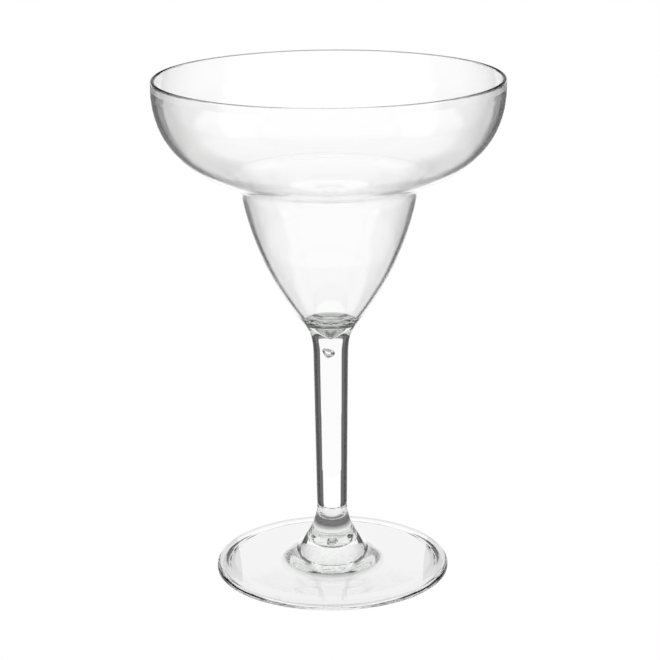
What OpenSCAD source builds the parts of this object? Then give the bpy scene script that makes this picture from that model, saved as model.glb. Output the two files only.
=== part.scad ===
// Margarita glass: a wide shallow bowl over a narrow cup, on a solid stem and a round foot.
// Three clear mouldings, joined on one axis by a spigot and a socket at each end of the stem.
// Millimetres, +Z up, origin at the centre of the face that the glass stands on.

/* [Overall] */
// Height of the whole glass
glass_h = 172; // [165:1:190]

/* [Bowl] */
// Diameter over the rim
rim_d = 116.8; // [108:0.2:126]
// Thickness of the rounded lip, a little more than the wall
lip_t = 1.6; // [1.2:0.05:2]
// Thickness of the wall of the bowl and the cup
wall_t = 1.35; // [1.1:0.05:1.7]
// Height of the wide bowl, from the neck to the rim
saucer_h = 39.6; // [36:0.2:44]
// Height over which the wall runs straight up into the lip
rim_band_h = 3; // [2:0.1:4]
// Rise of the wide bowl's underside where it leaves the neck, in degrees
saucer_rise = 16.5; // [12:0.5:22]
// Outside diameter of the neck, where the cup meets the wide bowl
neck_d = 58.6; // [54:0.2:64]
// Outside radius of the hollow corner at the neck
neck_fillet_r = 6.7; // [4:0.1:8]

/* [Cup] */
// Height of the cup, from its floor to the neck
cup_h = 42.6; // [38:0.2:46]
// Lean of the cup's wall away from upright at the neck, in degrees
cup_lean_top = 9.4; // [6:0.2:13]
// Lean of the cup's wall away from upright at its foot, in degrees
cup_lean_low = 36; // [31:0.5:41]
// Outside diameter of the cup where its wall runs into the stem
cup_low_d = 23.2; // [22:0.1:25]
// Height of that place above the floor of the cup
cup_low_rise = 1.9; // [1.5:0.1:2.4]
// Diameter of the flat floor of the cup
floor_d = 13.8; // [11.6:0.2:15]

/* [Stem] */
// Diameter of the stem at its slimmest, above the foot
stem_low_d = 10.4; // [9.8:0.1:12]
// Diameter of the stem where it starts to flare into the cup
stem_top_d = 11.9; // [11:0.1:13]
// Height of the flare under the floor of the cup
head_h = 12.7; // [11.2:0.1:14.4]
// Height above the ground at which the stem is slimmest
stem_low_z = 22.6; // [20:0.2:26]

/* [Foot] */
// Diameter of the foot
foot_d = 80.4; // [74:0.2:88]
// Thickness of the foot at its edge
foot_edge_t = 3; // [2.6:0.1:3.6]
// Radius of the edge's upper corner
foot_top_r = 2; // [1.4:0.1:2.2]
// Radius of the edge's lower corner
foot_low_r = 0.5; // [0.3:0.05:0.7]
// Diameter at which the foot starts to flare into the stem
foot_flare_d = 37; // [34:0.2:41]
// Height of the foot there
foot_flare_z = 3.9; // [3.5:0.1:4.6]
// Width of the flat ring that the foot stands on, outside the hollow underneath
stand_w = 1.6; // [1.3:0.1:4]
// Depth of the hollow under the foot
hollow_t = 1.3; // [0.8:0.05:1.6]
// Width of the hollow's soft edge
hollow_edge_w = 5; // [3:0.1:7]
// Diameter of the frosted recess in the middle of the hollow
frost_d = 16.9; // [12:0.1:20]
// Depth of that recess
frost_t = 0.2; // [0.1:0.05:0.4]

/* [Joints] */
// Diameter of the cone-shaped spigot under the bowl at its root, which sits in the head of the stem
bowl_spigot_d = 9.7; // [8:0.1:11]
// Length of the spigot under the bowl
bowl_spigot_l = 4.8; // [4:0.1:5.6]
// Radius of the rounded tip of that cone
bowl_spigot_tip_r = 0.7; // [0.4:0.05:1]
// Diameter of the round spigot at the lower end of the stem, which sits in the foot
stem_spigot_d = 10.4; // [9:0.1:12]
// Length of that round spigot
stem_spigot_l = 5; // [3.5:0.1:6.5]
// Chamfer at its flat end
spigot_chamfer = 0.6; // [0.3:0.05:1]
// Clearance around each spigot and below its tip, which the cement fills
cement_gap = 0.05; // [0.02:0.01:0.15]

/* [Hidden] */
// Where the upper joint cuts the stem's flare into the cup, along the curve
bowl_joint_share = 0.8;
// Where the lower joint cuts the foot's flare into the stem, along the curve
foot_joint_share = 0.58;
// Reach of each curve's two end tangents, as shares of its chord
cup_reach_shares = [0.312, 0.35];
saucer_reach_shares = [0.245, 0.51];
head_reach_shares = [0.48, 0.46];
foot_reach_shares = [0.285, 0.285];
floor_reach_shares = [0.8, 0.25];
hollow_reach_shares = [0.5, 0.5];
// Where the wide bowl's inner wall stops short of the lip, along the outer curve
inner_stop_share = 0.96;
// Where the rounded tip of the bowl's spigot ends: turn from straight down, in degrees
spigot_tip_turn = 43;
// Straight pieces in each long curve and in each small arc
curve_steps = 28;
arc_steps = 8;
// Number of sides that marks a turned shape as a true round
round_sides = 96;
clear_tint = [0.93, 0.96, 0.95, 0.4];

// Heights that follow from the sizes above
neck_z = glass_h - saucer_h;
floor_z = neck_z - cup_h;
stem_top_z = floor_z - head_h;
rim_z = glass_h - lip_t / 2;

// Points and directions in the half section, as [radius, height]
function mix(a, b, t) = a + (b - a) * t;
function lean(a) = [sin(a), cos(a)];
function inward(d) = [-d[1], d[0]];

// Cubic curve between two places, with its end directions and their reach
function ends(p, q, dp, dq, shares) =
    [p, p + dp * shares[0] * norm(q - p), q - dq * shares[1] * norm(q - p), q];
function at(c, t) =
    pow(1 - t, 3) * c[0] + 3 * pow(1 - t, 2) * t * c[1]
    + 3 * (1 - t) * pow(t, 2) * c[2] + pow(t, 3) * c[3];
function heading(c, t) =
    let (v = pow(1 - t, 2) * (c[1] - c[0]) + 2 * (1 - t) * t * (c[2] - c[1])
        + pow(t, 2) * (c[3] - c[2]))
    v / norm(v);
function run(c, t0 = 0, t1 = 1) =
    [for (i = [0 : curve_steps]) at(c, mix(t0, t1, i / curve_steps))];
function inner_run(c, t0, t1, gap) =
    [for (i = [0 : curve_steps])
        let (t = mix(t0, t1, i / curve_steps))
        at(c, t) + inward(heading(c, t)) * gap];
function arc(centre, r, a0, a1) =
    [for (i = [0 : arc_steps])
        let (a = mix(a0, a1, i / arc_steps))
        centre + r * [cos(a), sin(a)]];

// Outer curves of the glass, from the foot up
foot_rim_r = foot_d / 2 - foot_top_r;
hollow_r = foot_d / 2 - stand_w;
flare_start = [foot_flare_d / 2, foot_flare_z];
top_slope = [foot_rim_r, foot_edge_t] - flare_start;
stem_low = [stem_low_d / 2, stem_low_z];
stem_top = [stem_top_d / 2, stem_top_z];
stem_way = (stem_top - stem_low) / norm(stem_top - stem_low);
foot_curve = ends(flare_start, stem_low, -top_slope / norm(top_slope), stem_way, foot_reach_shares);
cup_low = [cup_low_d / 2, floor_z + cup_low_rise];
neck = [neck_d / 2, neck_z];
head_curve = ends(stem_top, cup_low, stem_way, lean(cup_lean_low), head_reach_shares);
cup_curve = ends(cup_low, neck, lean(cup_lean_low), lean(cup_lean_top), cup_reach_shares);
neck_centre = neck - inward(lean(cup_lean_top)) * neck_fillet_r;
saucer_start = neck_centre + neck_fillet_r * [-sin(saucer_rise), cos(saucer_rise)];
wide = [rim_d / 2, glass_h - rim_band_h];
saucer_curve = ends(saucer_start, wide, lean(90 - saucer_rise), lean(0), saucer_reach_shares);

// Places of the two joints
bowl_joint = at(head_curve, bowl_joint_share);
foot_joint = at(foot_curve, foot_joint_share);

// Inner curves of the bowl
floor_edge = [floor_d / 2, floor_z];
cup_inner_low = cup_low + inward(lean(cup_lean_low)) * wall_t;
floor_curve = ends(cup_inner_low, floor_edge, -lean(cup_lean_low), [-1, 0], floor_reach_shares);
inner_wide = [wide[0] - wall_t, wide[1]];

// Cone-shaped spigot of the bowl from its tip to its root, or its socket with a gap around it
function bowl_cone(gap) = concat(
    arc([0, bowl_joint[1] - bowl_spigot_l + bowl_spigot_tip_r], bowl_spigot_tip_r + gap,
        -90, spigot_tip_turn - 90),
    [[bowl_spigot_d / 2 + gap, bowl_joint[1]]]
);

function bowl_section() = concat(
    run(head_curve, bowl_joint_share, 1),
    run(cup_curve),
    arc(neck_centre, neck_fillet_r, 180 - cup_lean_top, 90 + saucer_rise),
    run(saucer_curve),
    arc([rim_d / 2 - lip_t / 2, rim_z], lip_t / 2, 0, 180),
    [inner_wide],
    inner_run(saucer_curve, inner_stop_share, 0, wall_t),
    arc(neck_centre, neck_fillet_r + wall_t, 90 + saucer_rise, 180 - cup_lean_top),
    inner_run(cup_curve, 1, 0, wall_t),
    run(floor_curve),
    [[0, floor_z]],
    bowl_cone(0)
);

module bowl() {
    color(clear_tint)
    rotate_extrude($fn = round_sides)
    polygon(bowl_section());
}

module stem() {
    socket = bowl_cone(cement_gap);
    color(clear_tint)
    rotate_extrude($fn = round_sides)
    polygon(concat(
        run(foot_curve, foot_joint_share, 1),
        run(head_curve, 0, bowl_joint_share),
        [for (i = [len(socket) - 1 : -1 : 0]) socket[i]],
        [[0, foot_joint[1] - stem_spigot_l]],
        [[stem_spigot_d / 2 - spigot_chamfer, foot_joint[1] - stem_spigot_l]],
        [[stem_spigot_d / 2, foot_joint[1] - stem_spigot_l + spigot_chamfer]],
        [[stem_spigot_d / 2, foot_joint[1]]]
    ));
}

module foot() {
    color(clear_tint)
    rotate_extrude($fn = round_sides)
    polygon(concat(
        arc([foot_d / 2 - foot_low_r, foot_low_r], foot_low_r, -90, 0),
        arc([foot_rim_r, foot_edge_t - foot_top_r], foot_top_r, 0, 90),
        run(foot_curve, 0, foot_joint_share),
        [[stem_spigot_d / 2 + cement_gap, foot_joint[1]]],
        [[stem_spigot_d / 2 + cement_gap, foot_joint[1] - stem_spigot_l - cement_gap]],
        [[0, foot_joint[1] - stem_spigot_l - cement_gap]],
        [[0, hollow_t + frost_t]],
        [[frost_d / 2, hollow_t + frost_t]],
        [[frost_d / 2, hollow_t]],
        run(ends([hollow_r - hollow_edge_w, hollow_t], [hollow_r, 0], [1, 0], [1, 0],
            hollow_reach_shares))
    ));
}

bowl();
stem();
foot();
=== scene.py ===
# %% [markdown]
# # A clear margarita glass
# The object is three clear mouldings on one axis: a bowl, a stem and a foot, cemented end to end.
# Nothing on it is painted or textured, so its whole look is how it bends light. What matters is the
# exact section of each piece, the thickness of the walls, and what stands around the glass.
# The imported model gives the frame: its boxes say how tall and wide each piece is.

# %% Load the frame
import math
from functools import partial

import bmesh
import bpy
from mathutils import Matrix, Vector


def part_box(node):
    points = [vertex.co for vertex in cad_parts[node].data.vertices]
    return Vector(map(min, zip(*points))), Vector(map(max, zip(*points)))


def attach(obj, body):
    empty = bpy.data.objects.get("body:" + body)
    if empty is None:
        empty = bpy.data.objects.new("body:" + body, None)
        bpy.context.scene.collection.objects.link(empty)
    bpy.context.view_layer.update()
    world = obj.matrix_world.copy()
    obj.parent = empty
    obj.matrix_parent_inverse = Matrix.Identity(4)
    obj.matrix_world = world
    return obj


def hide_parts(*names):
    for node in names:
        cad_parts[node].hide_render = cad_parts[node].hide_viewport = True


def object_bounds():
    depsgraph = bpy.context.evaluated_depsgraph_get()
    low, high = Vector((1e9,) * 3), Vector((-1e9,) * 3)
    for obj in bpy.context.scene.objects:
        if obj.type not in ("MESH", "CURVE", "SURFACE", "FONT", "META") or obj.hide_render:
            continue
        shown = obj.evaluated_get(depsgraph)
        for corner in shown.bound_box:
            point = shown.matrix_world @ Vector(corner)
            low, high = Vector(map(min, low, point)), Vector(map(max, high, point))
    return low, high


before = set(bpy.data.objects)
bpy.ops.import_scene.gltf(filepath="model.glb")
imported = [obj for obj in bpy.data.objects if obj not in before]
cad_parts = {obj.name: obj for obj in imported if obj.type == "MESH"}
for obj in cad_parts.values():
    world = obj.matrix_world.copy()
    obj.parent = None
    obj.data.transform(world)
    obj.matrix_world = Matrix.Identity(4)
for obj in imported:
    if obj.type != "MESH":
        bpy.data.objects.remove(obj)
cad_low, cad_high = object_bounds()
mm = 0.001
glass_h = cad_high.z
print("glass", round(glass_h / mm, 1), "mm high,", round(2 * cad_high.x / mm, 1), "mm over the rim")

# %% [markdown]
# ## The camera
# The camera stands level with nothing on the glass: it looks down at it, so the rim shows as a flat
# oval and the foot as a rounder one. The ratio between those two ovals fixes how far away and how
# high the camera is, and both are kept here as shares of the glass's height. The glass leans a
# half degree in the picture, which is the camera's roll.

# %% Camera
picture_side = 660
focal_px = 2091.1
camera_azimuth = math.radians(225)
camera_tilt = math.radians(16.37)
camera_roll = math.radians(0.5)
camera_reach = 3.9553 * glass_h
camera_height = 1.6588 * glass_h
sideways_shift = -0.0009

towards_camera = Vector((math.sin(camera_azimuth), -math.cos(camera_azimuth), 0))
picture_right = Vector((math.cos(camera_azimuth), math.sin(camera_azimuth), 0))
world_up = Vector((0, 0, 1))


def make_camera():
    """A camera at the photograph's angle, framed for a square picture."""
    look = -towards_camera * math.cos(camera_tilt) - world_up * math.sin(camera_tilt)
    up = world_up * math.cos(camera_tilt) - towards_camera * math.sin(camera_tilt)
    rolled_up = up * math.cos(camera_roll) + picture_right * math.sin(camera_roll)
    rolled_right = picture_right * math.cos(camera_roll) - up * math.sin(camera_roll)
    data = bpy.data.cameras.new("photo_camera")
    data.sensor_width = 36
    data.lens = data.sensor_width * focal_px / picture_side
    data.shift_x = sideways_shift
    data.clip_start = 0.01
    camera = bpy.data.objects.new("photo_camera", data)
    camera.matrix_world = Matrix((rolled_right, rolled_up, -look)).transposed().to_4x4()
    camera.location = towards_camera * camera_reach + world_up * camera_height
    bpy.context.scene.collection.objects.link(camera)
    bpy.context.scene.camera = camera
    return camera


camera = make_camera()
print("camera", round(camera.location.length, 3), "m away, lens", round(camera.data.lens, 1), "mm")

# %% [markdown]
# ## Helpers for curves
# The section of a turned piece is a line from the axis, round the outside and back to the axis. Its
# long curves are cubic curves with a known direction at each end, and the inner wall of the bowl is
# the outer curve moved inwards by the thickness of the wall. Points are (radius, height) pairs.

# %% Curve helpers
def lean(degrees):
    """A unit direction that leans away from upright by this angle."""
    return Vector((math.sin(math.radians(degrees)), math.cos(math.radians(degrees))))


def inward(direction):
    """The direction a quarter turn to the left, which points at the axis where the curve climbs."""
    return Vector((-direction[1], direction[0]))


def cubic(start, end, start_way, end_way, reaches):
    """The four control points of a curve with these end directions, reaching shares of its chord."""
    chord = (end - start).length
    first = start + start_way * reaches[0] * chord
    second = end - end_way * reaches[1] * chord
    return [start, first, second, end]


def point_at(curve, t):
    """The point a share t of the way along a cubic curve."""
    s = 1 - t
    return s**3 * curve[0] + 3 * s * s * t * curve[1] + 3 * s * t * t * curve[2] + t**3 * curve[3]


def way_at(curve, t):
    """The direction of travel at a share t of a cubic curve."""
    s = 1 - t
    way = s * s * (curve[1] - curve[0]) + 2 * s * t * (curve[2] - curve[1]) + t * t * (curve[3] - curve[2])
    return way.normalized()


def along(curve, t0, t1, steps, gap=0.0):
    """Points on a cubic curve between two shares of it, moved inwards by a gap."""
    places = [t0 + (t1 - t0) * i / steps for i in range(steps + 1)]
    return [point_at(curve, t) + inward(way_at(curve, t)) * gap for t in places]


def arc(centre, radius, a0, a1, steps):
    """Points on a round corner between two angles in degrees, measured from straight outwards."""
    angles = [math.radians(a0 + (a1 - a0) * i / steps) for i in range(steps + 1)]
    return [centre + radius * Vector((math.cos(a), math.sin(a))) for a in angles]


# %% [markdown]
# ## The outline of the glass
# These are the sizes of the real glass in millimetres, as the construction has them. The heights
# follow from each other: the bowl hangs from the rim, the cup hangs from the neck, and the flare of
# the stem hangs from the cup's floor.

# %% Outline
rim_r = cad_high.x
foot_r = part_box("foot")[1].x
lip_t = 1.6 * mm
wall_t = 1.35 * mm
neck_z = glass_h - 39.6 * mm
floor_z = neck_z - 42.6 * mm
stem_top = Vector((5.95 * mm, floor_z - 12.7 * mm))
stem_low = Vector((5.2 * mm, 22.6 * mm))
stem_way = (stem_top - stem_low).normalized()
cup_low = Vector((11.6 * mm, floor_z + 1.9 * mm))
cup_lean_low = 36
cup_lean_top = 9.4
neck = Vector((29.3 * mm, neck_z))
neck_fillet_r = 6.7 * mm
saucer_rise = 16.5
wide = Vector((rim_r, glass_h - 3 * mm))

head_curve = cubic(stem_top, cup_low, stem_way, lean(cup_lean_low), [0.48, 0.46])
cup_curve = cubic(cup_low, neck, lean(cup_lean_low), lean(cup_lean_top), [0.312, 0.35])
neck_centre = neck - inward(lean(cup_lean_top)) * neck_fillet_r
saucer_start = neck_centre + inward(lean(90 - saucer_rise)) * neck_fillet_r
saucer_curve = cubic(saucer_start, wide, lean(90 - saucer_rise), lean(0), [0.245, 0.51])

foot_edge_t = 3 * mm
foot_top_r = 2 * mm
foot_low_r = 0.5 * mm
flare_start = Vector((18.5 * mm, 3.9 * mm))
top_slope = (Vector((foot_r - foot_top_r, foot_edge_t)) - flare_start).normalized()
foot_curve = cubic(flare_start, stem_low, -top_slope, stem_way, [0.285, 0.285])
print("neck", round(neck_z / mm, 1), "floor of the cup", round(floor_z / mm, 1), "mm up")

# %% [markdown]
# ## The two joints
# The lower end of the stem is a round spigot in the foot's collar, filled with cement. Where the
# cement has the same refractive index as the mouldings, the seam can't be seen, so those faces are
# drawn a hundredth of a millimetre apart and get a material that lets light straight through. The
# cement doesn't reach the spigot's flat end. There a film of air, a swirled surface and a dimple
# with a trapped bubble show through the flare above the foot.

# %% Joints
seam = 0.01 * mm
bowl_joint_share = 0.8
foot_joint_share = 0.58
stem_spigot_r = 5.2 * mm
stem_spigot_l = 5 * mm
spigot_chamfer = 0.6 * mm
cement_gap = 0.05 * mm
dimple_r = 1.4 * mm
dimple_h = 1.8 * mm
dimple_steps = 10
bowl_joint = point_at(head_curve, bowl_joint_share)
foot_joint = point_at(foot_curve, foot_joint_share)


def spigot(joint):
    """The stem's lower end from the axis to the joint's ring: a dimpled face, a chamfer and a side."""
    tip_z = joint.y - stem_spigot_l
    turns = [math.radians(90 * i / dimple_steps) for i in range(dimple_steps + 1)]
    face = [Vector((dimple_r * math.sin(a), tip_z + dimple_h * math.cos(a))) for a in turns]
    face.append(Vector((stem_spigot_r - spigot_chamfer, tip_z)))
    corner = Vector((stem_spigot_r, tip_z + spigot_chamfer))
    root = Vector((stem_spigot_r, joint.y))
    return [("swirled", face + [corner]), ("cemented", [corner, root])]


def socket(joint):
    """The socket for it in the foot, from the joint's outer edge to the axis."""
    bottom_z = joint.y - stem_spigot_l - cement_gap
    root = Vector((stem_spigot_r, joint.y - seam))
    corner = Vector((stem_spigot_r, joint.y - stem_spigot_l + spigot_chamfer))
    bottom = [corner, Vector((stem_spigot_r, bottom_z)), Vector((0, bottom_z))]
    return [("cemented", [joint - Vector((0, seam)), root, corner]), ("swirled", bottom)]


# %% [markdown]
# Under the bowl a cone sits in a cone-shaped socket, and a film of air is left around it. The film
# turns light back like a mirror, and that is the grey V under the cup's floor. The cone's section
# runs from its rounded tip to its root, and then along the ring where the bowl meets the stem. With
# a gap it gives the socket. Its faces are speckled, because the film isn't quite even.

# %% Cone joint
bowl_spigot_r = 4.85 * mm
bowl_spigot_l = 4.8 * mm
bowl_spigot_tip_r = 0.7 * mm
spigot_tip_turn = 43
tip_steps = 10


def cone(joint, gap):
    """The section of the bowl's cone-shaped spigot, or of its socket where there is a gap around it."""
    tip_r = bowl_spigot_tip_r + gap
    centre = Vector((0, joint.y - bowl_spigot_l + bowl_spigot_tip_r))
    edge = Vector((bowl_spigot_r + gap, joint.y - (seam if gap else 0)))
    outer = Vector((joint.x, edge.y))
    tip = arc(centre, tip_r, -90, spigot_tip_turn - 90, tip_steps)
    return [("speckled", tip + [edge]), ("cemented", [edge, outer])]


print("cone", round(bowl_spigot_l / mm, 1), "mm long")

# %% [markdown]
# ## The three sections
# A section is a list of stretches, and each stretch names the finish of its surface: clear, cemented,
# speckled, swirled or frosted. The small ring on the cup's floor is the mark that the gate of the
# mould leaves there. The frosted disc is a shallow recess in the hollow under the foot.

# %% Sections
gate_r = 1.7 * mm
gate_w = 0.7 * mm
gate_h = 0.12 * mm
gate_steps = 12
floor_r = 6.9 * mm
floor_reaches = [0.8, 0.25]
inner_stop_share = 0.96
hollow_t = 1.3 * mm
hollow_r = foot_r - 1.6 * mm
hollow_edge_w = 5 * mm
frost_r = 8.45 * mm
frost_t = 0.2 * mm
# How many straight steps draw each curve and each round corner
steps = {
    "head": 30, "cup": 50, "neck": 24, "saucer": 60, "lip": 20, "floor": 12,
    "stem": 24, "flare": 40, "hollow": 16, "low edge": 12, "top edge": 20,
}


def floor_points():
    """The flat floor of the cup with the gate's raised ring, from its edge to the axis."""
    points = [Vector((floor_r * i / 6, floor_z)) for i in (6, 5, 4)]
    for i in range(gate_steps + 1):
        r = gate_r + gate_w * (0.5 - i / gate_steps)
        rise = gate_h * 0.5 * (1 - math.cos(2 * math.pi * i / gate_steps))
        points.append(Vector((r, floor_z + rise)))
    return points + [Vector((gate_r * 0.4, floor_z)), Vector((0, floor_z))]


def bowl_section():
    """Spigot, flare, cup, neck, wide bowl, lip, and the inside down to the floor."""
    low_way = lean(cup_lean_low)
    inner_low = cup_low + inward(low_way) * wall_t
    floor_curve = cubic(inner_low, Vector((floor_r, floor_z)), -low_way, Vector((-1, 0)), floor_reaches)
    lip = arc(Vector((rim_r - lip_t / 2, glass_h - lip_t / 2)), lip_t / 2, 0, 180, steps["lip"])
    neck_turns = [180 - cup_lean_top, 90 + saucer_rise]
    outside = along(head_curve, bowl_joint_share, 1, steps["head"])
    outside += along(cup_curve, 0, 1, steps["cup"])
    outside += arc(neck_centre, neck_fillet_r, *neck_turns, steps["neck"])
    outside += along(saucer_curve, 0, 1, steps["saucer"])
    inside = [wide - Vector((wall_t, 0))]
    inside += along(saucer_curve, inner_stop_share, 0, steps["saucer"], wall_t)
    inside += arc(neck_centre, neck_fillet_r + wall_t, *neck_turns[::-1], steps["neck"])
    inside += along(cup_curve, 1, 0, steps["cup"], wall_t)
    inside += along(floor_curve, 0, 1, steps["floor"])
    free = outside + lip + inside + floor_points()
    return cone(bowl_joint, 0) + [("clear", free)]


def stem_section():
    """Lower spigot, the slim stem, its flare, and the socket for the bowl."""
    top_edge = bowl_joint - Vector((0, seam))
    free = along(foot_curve, foot_joint_share, 1, steps["flare"])
    free += [stem_low.lerp(stem_top, i / steps["stem"]) for i in range(1, steps["stem"])]
    free += along(head_curve, 0, bowl_joint_share, steps["head"])[:-1] + [top_edge]
    kinds = [(kind, stretch[::-1]) for kind, stretch in reversed(cone(bowl_joint, cement_gap))]
    return spigot(foot_joint) + [("clear", free)] + kinds


def foot_section():
    """The hollow underneath, the standing ring, the edge, the top and the socket for the stem."""
    edge_of_hollow = cubic(
        Vector((hollow_r - hollow_edge_w, hollow_t)), Vector((hollow_r, 0)),
        Vector((1, 0)), Vector((1, 0)), [0.5, 0.5],
    )
    frosted = [Vector((0, hollow_t + frost_t)), Vector((frost_r, hollow_t + frost_t))]
    low_centre = Vector((foot_r - foot_low_r, foot_low_r))
    top_centre = Vector((foot_r - foot_top_r, foot_edge_t - foot_top_r))
    free = [frosted[-1], Vector((frost_r, hollow_t))]
    free += along(edge_of_hollow, 0, 1, steps["hollow"])
    free += arc(low_centre, foot_low_r, -90, 0, steps["low edge"])
    free += arc(top_centre, foot_top_r, 0, 90, steps["top edge"])
    free += along(foot_curve, 0, foot_joint_share, steps["flare"])[:-1]
    free += [foot_joint - Vector((0, seam))]
    return [("frosted", frosted), ("clear", free)] + socket(foot_joint)


sections = {"bowl": bowl_section(), "stem": stem_section(), "foot": foot_section()}
for name, stretches in sections.items():
    print(name, "has", sum(len(points) for _, points in stretches), "points in its section")

# %% [markdown]
# ## The finishes
# Light is bent by the refractive index, 1.5 for clear acrylic and for soda glass alike. Thick parts
# look faintly green, because the material takes away a little more red and blue than green. That is
# a volume, so it deepens where the glass is thick, as in the stem seen end on.
#
# No moulded surface is perfect, so a fine noise gives the clear finish slight waves and a trace of
# haze. The same material with coarser values makes the frosted disc, the speckled cone and the
# swirled end of the stem.

# %% Finishes
clear_index = 1.5
depth_tint = (0.86, 0.88, 0.86, 1)
depth_density = 10
smear_from = 0.45
smear_to = 0.7


def add_volume(tree, output):
    """Gives a material the faint tint that grows with the depth of clear material."""
    volume = tree.nodes.new("ShaderNodeVolumeAbsorption")
    volume.inputs["Color"].default_value = depth_tint
    volume.inputs["Density"].default_value = depth_density
    tree.links.new(volume.outputs["Volume"], output.inputs["Volume"])


def grain(tree, scale, detail):
    """A noise pattern in the glass's own coordinates."""
    place = tree.nodes.new("ShaderNodeTexCoord")
    noise = tree.nodes.new("ShaderNodeTexNoise")
    noise.inputs["Scale"].default_value = scale
    noise.inputs["Detail"].default_value = detail
    tree.links.new(place.outputs["Object"], noise.inputs["Vector"])
    return noise.outputs["Fac"]


def glass(name, rough_low, rough_high, smear_scale, wave_scale, wave_height, wave_strength):
    """Clear material whose roughness and surface height both follow a noise pattern."""
    material = bpy.data.materials.new(name)
    material.use_nodes = True
    tree = material.node_tree
    shader = tree.nodes["Principled BSDF"]
    shader.inputs["Base Color"].default_value = (1, 1, 1, 1)
    shader.inputs["IOR"].default_value = clear_index
    shader.inputs["Transmission Weight"].default_value = 1
    smear = tree.nodes.new("ShaderNodeMapRange")
    smear.inputs["From Min"].default_value = smear_from
    smear.inputs["From Max"].default_value = smear_to
    smear.inputs["To Min"].default_value = rough_low
    smear.inputs["To Max"].default_value = rough_high
    tree.links.new(grain(tree, smear_scale, detail=2), smear.inputs["Value"])
    tree.links.new(smear.outputs["Result"], shader.inputs["Roughness"])
    bump = tree.nodes.new("ShaderNodeBump")
    bump.inputs["Distance"].default_value = wave_height
    bump.inputs["Strength"].default_value = wave_strength
    tree.links.new(grain(tree, wave_scale, detail=1), bump.inputs["Height"])
    tree.links.new(bump.outputs["Normal"], shader.inputs["Normal"])
    add_volume(tree, tree.nodes["Material Output"])
    return material


def joint_material():
    """A cemented face, which light passes as if it weren't there."""
    material = bpy.data.materials.new("cemented")
    material.use_nodes = True
    tree = material.node_tree
    tree.nodes.remove(tree.nodes["Principled BSDF"])
    through = tree.nodes.new("ShaderNodeBsdfTransparent")
    tree.links.new(through.outputs["BSDF"], tree.nodes["Material Output"].inputs["Surface"])
    add_volume(tree, tree.nodes["Material Output"])
    return material


# Each glass finish: its least and most roughness, how fine its smears are, and then how fine, how
# high and how strong its waves are.
finishes = {
    "clear": glass("clear", 0, 0.006, 160, 55, 0.06 * mm, 0.05),
    "cemented": joint_material(),
    "frosted": glass("frosted", 0.35, 0.5, 900, 2500, 0.05 * mm, 0.5),
    "speckled": glass("speckled", 0, 0.1, 2500, 3000, 0.03 * mm, 0.35),
    "swirled": glass("swirled", 0, 0.05, 900, 400, 0.6 * mm, 1),
}
print("finishes", ", ".join(finishes))

# %% [markdown]
# ## A lathe in Geometry Nodes
# A turned piece follows one rule: every point of its section runs round the axis. The tree below
# lays out a grid, with one row for each point of the section and one column for each step round the
# axis, and moves every grid point to its place on the turned surface. Merging closes the seam and
# the poles. Edges that turn sharply stay sharp, and the rest is smooth, so light bends evenly.

# %% Lathe tree
merge_gap = 0.0001 * mm


def add_maths(tree, operation, a, b=0.0):
    """Adds a maths node fed with numbers or other nodes' outputs, and gives its result."""
    made = tree.nodes.new("ShaderNodeMath")
    made.operation = operation
    for socket_in, value in zip(made.inputs, (a, b)):
        if isinstance(value, (int, float)):
            socket_in.default_value = value
        else:
            tree.links.new(value, socket_in)
    return made.outputs["Value"]


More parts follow.
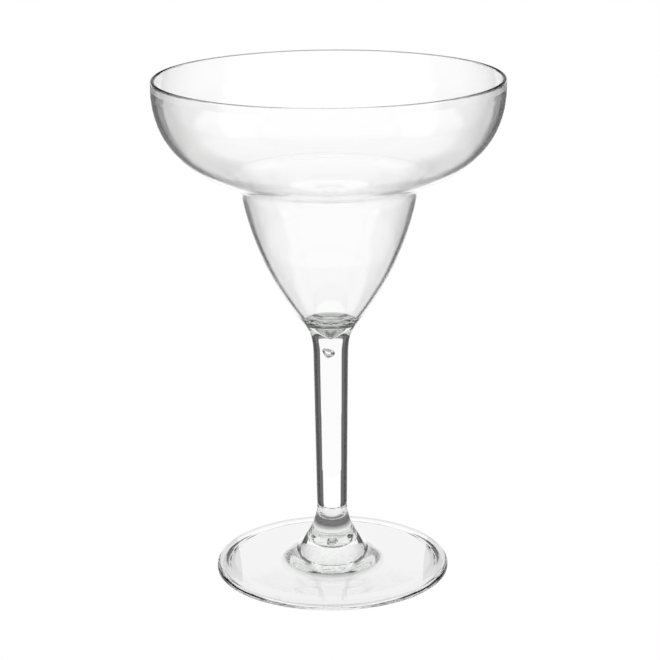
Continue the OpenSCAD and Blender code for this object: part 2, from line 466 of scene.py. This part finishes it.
def lathe_tree():
    """Geometry Nodes that turn a section round the Z axis."""
    tree = bpy.data.node_groups.new("lathe", "GeometryNodeTree")
    face = tree.interface
    face.new_socket("Section", in_out="INPUT", socket_type="NodeSocketGeometry")
    face.new_socket("Sides", in_out="INPUT", socket_type="NodeSocketInt")
    face.new_socket("Crease", in_out="INPUT", socket_type="NodeSocketFloat")
    for finish in finishes:
        face.new_socket(finish, in_out="INPUT", socket_type="NodeSocketMaterial")
    face.new_socket("Turned", in_out="OUTPUT", socket_type="NodeSocketGeometry")
    node = tree.nodes.new
    link = tree.links.new
    maths = partial(add_maths, tree)
    given = node("NodeGroupInput")

    def sampled(data_type, value, index):
        made = node("GeometryNodeSampleIndex")
        made.data_type = data_type
        link(given.outputs["Section"], made.inputs["Geometry"])
        link(value, made.inputs["Value"])
        link(index, made.inputs["Index"])
        return made.outputs["Value"]

    count = node("GeometryNodeAttributeDomainSize")
    link(given.outputs["Section"], count.inputs["Geometry"])
    columns = maths("ADD", given.outputs["Sides"], 1)
    grid = node("GeometryNodeMeshGrid")
    link(count.outputs["Point Count"], grid.inputs["Vertices X"])
    link(columns, grid.inputs["Vertices Y"])

    index = node("GeometryNodeInputIndex").outputs["Index"]
    row = maths("FLOOR", maths("DIVIDE", maths("ADD", index, 0.5), columns))
    column = maths("SUBTRACT", index, maths("MULTIPLY", row, columns))
    turn = maths("DIVIDE", maths("MULTIPLY", column, -2 * math.pi), given.outputs["Sides"])
    place = sampled("FLOAT_VECTOR", node("GeometryNodeInputPosition").outputs["Position"], row)
    spin = node("ShaderNodeVectorRotate")
    spin.rotation_type = "Z_AXIS"
    link(place, spin.inputs["Vector"])
    link(turn, spin.inputs["Angle"])
    moved = node("GeometryNodeSetPosition")
    link(grid.outputs["Mesh"], moved.inputs["Geometry"])
    link(spin.outputs["Vector"], moved.inputs["Position"])

    mark = node("GeometryNodeInputNamedAttribute")
    mark.data_type = "INT"
    mark.inputs["Name"].default_value = "finish"
    face_row = maths("FLOOR", maths("DIVIDE", maths("ADD", index, 0.5), given.outputs["Sides"]))
    kept = node("GeometryNodeStoreNamedAttribute")
    kept.data_type = "INT"
    kept.domain = "FACE"
    kept.inputs["Name"].default_value = "face_finish"
    link(moved.outputs["Geometry"], kept.inputs["Geometry"])
    link(sampled("INT", mark.outputs["Attribute"], face_row), kept.inputs["Value"])

    merged = node("GeometryNodeMergeByDistance")
    merged.inputs["Distance"].default_value = merge_gap
    link(kept.outputs["Geometry"], merged.inputs["Geometry"])
    bend = node("GeometryNodeInputMeshEdgeAngle")
    gentle = node("FunctionNodeCompare")
    gentle.operation = "LESS_THAN"
    link(bend.outputs["Unsigned Angle"], gentle.inputs[0])
    link(given.outputs["Crease"], gentle.inputs[1])
    smooth = node("GeometryNodeSetShadeSmooth")
    smooth.domain = "EDGE"
    link(merged.outputs["Geometry"], smooth.inputs["Geometry"])
    link(gentle.outputs["Result"], smooth.inputs["Shade Smooth"])
    real = node("GeometryNodeRealizeInstances")
    link(smooth.outputs["Geometry"], real.inputs["Geometry"])

    dressed = real.outputs["Geometry"]
    on_face = node("GeometryNodeInputNamedAttribute")
    on_face.data_type = "INT"
    on_face.inputs["Name"].default_value = "face_finish"
    for i, finish in enumerate(finishes):
        same = node("FunctionNodeCompare")
        same.data_type = "INT"
        same.operation = "EQUAL"
        link(on_face.outputs["Attribute"], same.inputs[2])
        same.inputs[3].default_value = i
        put_on = node("GeometryNodeSetMaterial")
        link(dressed, put_on.inputs["Geometry"])
        link(same.outputs["Result"], put_on.inputs["Selection"])
        link(given.outputs[finish], put_on.inputs["Material"])
        dressed = put_on.outputs["Geometry"]
    link(dressed, node("NodeGroupOutput").inputs["Turned"])
    return tree


lathe = lathe_tree()
print("lathe tree with", len(lathe.nodes), "nodes")

# %% [markdown]
# ## Turning the pieces
# The section goes in as a line of points, and each point carries the number of the finish that
# starts there. The evaluated result becomes a plain mesh, because an exported model keeps no
# modifiers.

# %% Turn the pieces
round_sides = 272
crease_angle = math.radians(25)
closest = 0.001 * mm


def section_line(name, stretches):
    """A mesh of points and edges for a section, without points that fall on each other."""
    order = list(finishes)
    points, marks = [], []
    for finish, stretch in stretches:
        if points and (stretch[0] - points[-1]).length > closest:
            marks[-1] = order.index("cemented")
        for p in stretch:
            if points and (p - points[-1]).length < closest:
                marks[-1] = order.index(finish)
                continue
            points.append(p)
            marks.append(order.index(finish))
    mesh = bpy.data.meshes.new(name + "_section")
    edges = [(i, i + 1) for i in range(len(points) - 1)]
    mesh.from_pydata([(p.x, 0, p.y) for p in points], edges, [])
    mesh.attributes.new("finish", "INT", "POINT").data.foreach_set("value", marks)
    return mesh


def drop_empty_slot(mesh):
    """Takes out the empty first material that the lathe's grid brings with it."""
    places = [0] * len(mesh.polygons)
    mesh.polygons.foreach_get("material_index", places)
    if mesh.materials[0] is None:
        mesh.materials.pop(index=0)
        mesh.polygons.foreach_set("material_index", [i - 1 for i in places])


def turned(name):
    """A closed mesh of one moulding, turned from its section."""
    source = bpy.data.objects.new(name + "_source", section_line(name, sections[name]))
    bpy.context.scene.collection.objects.link(source)
    modifier = source.modifiers.new("lathe", "NODES")
    modifier.node_group = lathe
    values = {"Sides": round_sides, "Crease": crease_angle, **finishes}
    for item in lathe.interface.items_tree:
        if item.in_out == "INPUT" and item.name in values:
            modifier[item.identifier] = values[item.name]
    bpy.context.view_layer.update()
    graph = bpy.context.evaluated_depsgraph_get()
    mesh = bpy.data.meshes.new_from_object(source.evaluated_get(graph))
    drop_empty_slot(mesh)
    source.modifiers.remove(modifier)
    bpy.data.objects.remove(source)
    piece = bpy.data.objects.new("clear_" + name, mesh)
    bpy.context.scene.collection.objects.link(piece)
    return piece


pieces = {name: turned(name) for name in sections}
for name, piece in pieces.items():
    triangles = sum(len(face.vertices) - 2 for face in piece.data.polygons)
    print(piece.name, triangles, "triangles,", [m.name for m in piece.data.materials])

# %% [markdown]
# ## The bubble in the stem
# A small bubble of air is trapped near the axis, just under the bowl. It is lopsided: it bulges to one
# side and slants down to a blunt point. It is a cavity, so its faces point into the air inside it,
# away from the clear material.

# %% Bubble
bubble_centre = world_up * 78 * mm - picture_right * 1.4 * mm + towards_camera * 0.3 * mm
bubble_w = 2.9 * mm
bubble_h = 3.7 * mm
bubble_top_share = 0.4
bubble_bluntness = 2.6
bubble_bulge = 0.4
bubble_slant = 0.2
bubble_sides = 48
bubble_rows = 32


def add_bubble(piece):
    """Joins a lopsided teardrop cavity, point down, to a piece's mesh."""
    work = bmesh.new()
    work.from_mesh(piece.data)
    rings = []
    for j in range(1, bubble_rows):
        t = j / bubble_rows
        if t < 0.5:
            radius = bubble_w / 2 * math.sin(math.pi * t)
            height = bubble_h * (0.5 - bubble_top_share * (1 - math.cos(math.pi * t)))
        else:
            radius = bubble_w / 2 * (1 - (2 * t - 1) ** bubble_bluntness)
            height = bubble_h * (0.5 - bubble_top_share - (1 - bubble_top_share) * (2 * t - 1))
        middle = bubble_centre + world_up * height
        middle += picture_right * (bubble_h / 2 - height) * bubble_slant
        ring = []
        for i in range(bubble_sides):
            a = 2 * math.pi * i / bubble_sides
            side = picture_right * math.cos(a) + towards_camera * math.sin(a)
            side *= 1 + bubble_bulge * math.cos(a)
            ring.append(work.verts.new(middle + side * radius))
        rings.append(ring)
    top = work.verts.new(bubble_centre + world_up * bubble_h / 2)
    tip_shift = picture_right * bubble_h * bubble_slant
    tip = work.verts.new(bubble_centre - world_up * bubble_h / 2 + tip_shift)
    faces = []
    for i in range(bubble_sides):
        k = (i + 1) % bubble_sides
        faces.append(work.faces.new((top, rings[0][i], rings[0][k])))
        faces.append(work.faces.new((tip, rings[-1][k], rings[-1][i])))
        for upper, lower in zip(rings, rings[1:]):
            faces.append(work.faces.new((upper[i], lower[i], lower[k], upper[k])))
    bmesh.ops.recalc_face_normals(work, faces=faces)
    bmesh.ops.reverse_faces(work, faces=faces)
    for f in faces:
        f.smooth = True
        f.material_index = piece.data.materials.find("clear")
    work.to_mesh(piece.data)
    work.free()


add_bubble(pieces["stem"])
print("bubble", round(bubble_w / mm, 1), "mm wide in", pieces["stem"].name)

# %% [markdown]
# ## Fitting the pieces to the frame
# Each moulding stands for the CAD solid of the same name, which is hidden in its place. The glass
# has no moving part, so all three ride on the one body.

# %% Fit to the frame
for name, piece in pieces.items():
    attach(piece, "root")
    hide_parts(name)
    piece.visible_shadow = False
print("pieces fitted:", ", ".join(p.name for p in pieces.values()))

# %% [markdown]
# ## The studio
# Clear things are lit by what stands around them. White all round makes the glass vanish, so its
# edges need something dark to bend into view. Here a white wall stands behind the glass, from a
# little above the horizon down to where the wall meets the ground. The sides are dark there, which
# gives the stem its two dark bands. High up, soft white light comes from the sides, the front and the
# ceiling. A dimmer wall stands low in front, behind the camera, so the glass looks clear from the
# back too. The ground is grey, and that is the grey of the V under the bowl.
#
# Each of these is a patch of the sky with soft edges, given by its angles as seen from the glass. The
# same patch counts to the left and to the right. A little light everywhere keeps no corner black.

# %% Studio patches
# Each patch: azimuth from and to (0 is straight behind the glass), elevation from and to, the soft
# width of its edges in azimuth and in elevation, all in degrees, and its brightness.
patches = {
    "back wall": (-10, 26, -32, 5, 1.5, 1, 1),
    "above the wall": (-10, 26, 5, 14, 1.5, 1, 0.25),
    "high back": (-10, 45, 28, 60, 3, 4, 0.7),
    "high sides": (45, 100, 24, 60, 3, 3, 1),
    "low sides": (70, 140, -20, 10, 3, 3, 0.2),
    "front": (100, 190, 8, 60, 3, 3, 0.8),
    "low front": (105, 190, -31, 8, 3, 3, 0.75),
    "ceiling": (-10, 190, 60, 99, 3, 3, 0.7),
    "near ground": (-10, 190, -68, -50, 3, 3, 0.45),
    "far ground": (-10, 190, -50, -31, 3, 3, 0.4),
    "straight down": (-10, 190, -99, -68, 3, 3, 0.25),
}
room_light = 0.04


def studio_sky(patches, base):
    """A world made of soft-edged bright patches, plain white where the camera sees it directly."""
    world = bpy.data.worlds.new("studio")
    bpy.context.scene.world = world
    world.use_nodes = True
    tree = world.node_tree
    tree.nodes.clear()
    node = tree.nodes.new
    link = tree.links.new
    maths = partial(add_maths, tree)

    def share_along(direction):
        made = node("ShaderNodeVectorMath")
        made.operation = "DOT_PRODUCT"
        link(sight.outputs["Generated"], made.inputs[0])
        made.inputs[1].default_value = direction
        return made.outputs["Value"]

    def rises(value, middle, soft):
        made = node("ShaderNodeMapRange")
        made.interpolation_type = "SMOOTHSTEP"
        link(value, made.inputs["Value"])
        made.inputs["From Min"].default_value = middle - soft
        made.inputs["From Max"].default_value = middle + soft
        return made.outputs["Result"]

    def between(value, low, high, soft):
        below_high = maths("SUBTRACT", 1.0, rises(value, high, soft))
        return maths("MULTIPLY", rises(value, low, soft), below_high)

    sight = node("ShaderNodeTexCoord")
    ahead = share_along(-towards_camera)
    aside = maths("ABSOLUTE", share_along(picture_right))
    azimuth = maths("DEGREES", maths("ARCTAN2", aside, ahead))
    elevation = maths("DEGREES", maths("ARCSINE", share_along(world_up)))
    total = None
    for az0, az1, el0, el1, az_soft, el_soft, value in patches:
        around = between(azimuth, az0, az1, az_soft)
        patch = maths("MULTIPLY", around, between(elevation, el0, el1, el_soft))
        patch = maths("MULTIPLY", patch, value)
        total = patch if total is None else maths("MAXIMUM", total, patch)
    total = maths("ADD", total, base)
    path = node("ShaderNodeLightPath")
    seen = node("ShaderNodeMix")
    link(path.outputs["Is Camera Ray"], seen.inputs["Factor"])
    link(total, seen.inputs["A"])
    seen.inputs["B"].default_value = 1.0
    background = node("ShaderNodeBackground")
    link(seen.outputs["Result"], background.inputs["Color"])
    output = node("ShaderNodeOutputWorld")
    link(background.outputs["Background"], output.inputs["Surface"])
    return world


studio = studio_sky(patches.values(), room_light)
print("studio with", len(studio.node_tree.nodes), "nodes")

# %% [markdown]
# Two dark cards stand close behind the glass, one on each side, just outside the picture. A card
# that is near bends into the rims of the bowl and the cup and draws their outlines.

# %% Dark cards
card_back = 200 * mm
card_inner = 97.6 * mm
card_outer = 165 * mm
card_low = -400 * mm
card_high = 150 * mm
card_grey = 0.12


def plain_emitter(name, value):
    """A material of even brightness."""
    material = bpy.data.materials.new(name)
    material.use_nodes = True
    tree = material.node_tree
    tree.nodes.remove(tree.nodes["Principled BSDF"])
    glow = tree.nodes.new("ShaderNodeEmission")
    glow.inputs["Color"].default_value = (value, value, value, 1)
    tree.links.new(glow.outputs["Emission"], tree.nodes["Material Output"].inputs["Surface"])
    return material


def sheet_of(name, corners, material):
    """A flat object with this outline that isn't part of the glass."""
    mesh = bpy.data.meshes.new(name)
    mesh.from_pydata([tuple(c) for c in corners], [], [tuple(range(len(corners)))])
    mesh.materials.append(material)
    made = bpy.data.objects.new(name, mesh)
    bpy.context.scene.collection.objects.link(made)
    made.visible_diffuse = False
    made.visible_shadow = False
    return made


def upright_card(name, back, x0, x1, z0, z1, material):
    """An upright sheet behind the glass that the camera itself doesn't see."""
    behind = -towards_camera * back
    spots = [(x0, z0), (x1, z0), (x1, z1), (x0, z1)]
    card = sheet_of(name, [behind + picture_right * x + world_up * z for x, z in spots], material)
    card.visible_camera = False
    return card


dark_card = plain_emitter("dark_card", card_grey)
upright_card("card_left", card_back, -card_outer, -card_inner, card_low, card_high, dark_card)
upright_card("card_right", card_back, card_inner, card_outer, card_low, card_high, dark_card)
print("cards", round(2 * card_inner / mm), "mm apart")

# %% [markdown]
# Light that meets the foot from the front is turned upwards by total reflection at its underside, and
# leaves through the back of the flare. A low white panel close behind the glass is what it finds
# there. The panel ends below the bowl, so it doesn't light the stem's head.

# %% White panel
panel_back = 80 * mm
panel_half = 39 * mm
panel_low = 5 * mm
panel_high = 86 * mm
panel_light = 1
panel = plain_emitter("white_panel", panel_light)
upright_card("panel", panel_back, -panel_half, panel_half, panel_low, panel_high, panel)
print("panel", round(panel_high / mm), "mm high")

# %% [markdown]
# The floor is a plain white sheet that only the camera sees. The foot gets its light from a small
# round white table just under it. Its middle is darker, a painted shadow of the stem's root, and it
# fades out at the edge of the foot. Outside it no light comes up, so the stem's sides stay dark.

# %% Floor
floor_half = 5
floor_drop = 0.1 * mm
table_drop = 0.2 * mm
table_r = 46 * mm
table_light = 0.88
# Brightness of the painted shadow of the stem's root in the middle of the table
table_painted_shadow = 0.12
table_sides = 96


def table_with_painted_shadow():
    """A glow that fades at the table's edge, with a painted shadow of the stem's root dimming its middle.
    """
    material = plain_emitter("table", table_light)
    tree = material.node_tree
    place = tree.nodes.new("ShaderNodeTexCoord")
    reach = tree.nodes.new("ShaderNodeVectorMath")
    reach.operation = "LENGTH"
    tree.links.new(place.outputs["Object"], reach.inputs[0])
    spread = tree.nodes.new("ShaderNodeMapRange")
    spread.inputs["From Max"].default_value = table_r
    tree.links.new(reach.outputs["Value"], spread.inputs["Value"])
    ramp = tree.nodes.new("ShaderNodeValToRGB")
    # The two dim first stops are the painted shadow under the stem's root
    stops = [(0, table_painted_shadow), (0.2, table_painted_shadow), (0.35, table_light), (0.85, table_light), (1, 0)]
    for at, _ in stops[1:-1]:
        ramp.color_ramp.elements.new(at)
    for stop, (_, value) in zip(ramp.color_ramp.elements, stops):
        stop.color = (value, value, value, 1)
    tree.links.new(spread.outputs["Result"], ramp.inputs["Fac"])
    tree.links.new(ramp.outputs["Color"], tree.nodes["Emission"].inputs["Color"])
    return material


white_sheet = plain_emitter("white_sheet", 1)
signs = [(-1, -1), (1, -1), (1, 1), (-1, 1)]
corners = [Vector((x * floor_half, y * floor_half, -floor_drop)) for x, y in signs]
floor = sheet_of("floor", corners, white_sheet)
floor.visible_glossy = False
floor.visible_transmission = False
turns = [2 * math.pi * i / table_sides for i in range(table_sides)]
table_rim = [Vector((table_r * math.cos(a), table_r * math.sin(a), -table_drop)) for a in turns]
table = sheet_of("table", table_rim, table_with_painted_shadow())
table.visible_camera = False
print("floor", 2 * floor_half, "m wide, table", round(2 * table_r / mm), "mm wide")

# %% [markdown]
# ## Light paths
# A ray through the foot and the stem meets many faces before it leaves, so the renderer may follow
# each ray through as many as it needs. The colours are shown as they are, with no film curve.

# %% Light paths
most_faces = 32
scene = bpy.context.scene
scene.cycles.max_bounces = most_faces
scene.cycles.transmission_bounces = most_faces
scene.cycles.glossy_bounces = most_faces // 2
scene.cycles.transparent_max_bounces = 2 * most_faces
scene.cycles.caustics_reflective = True
scene.cycles.caustics_refractive = True
scene.cycles.sample_clamp_indirect = 0
scene.view_settings.view_transform = "Standard"
print("rays meet up to", most_faces, "clear faces")
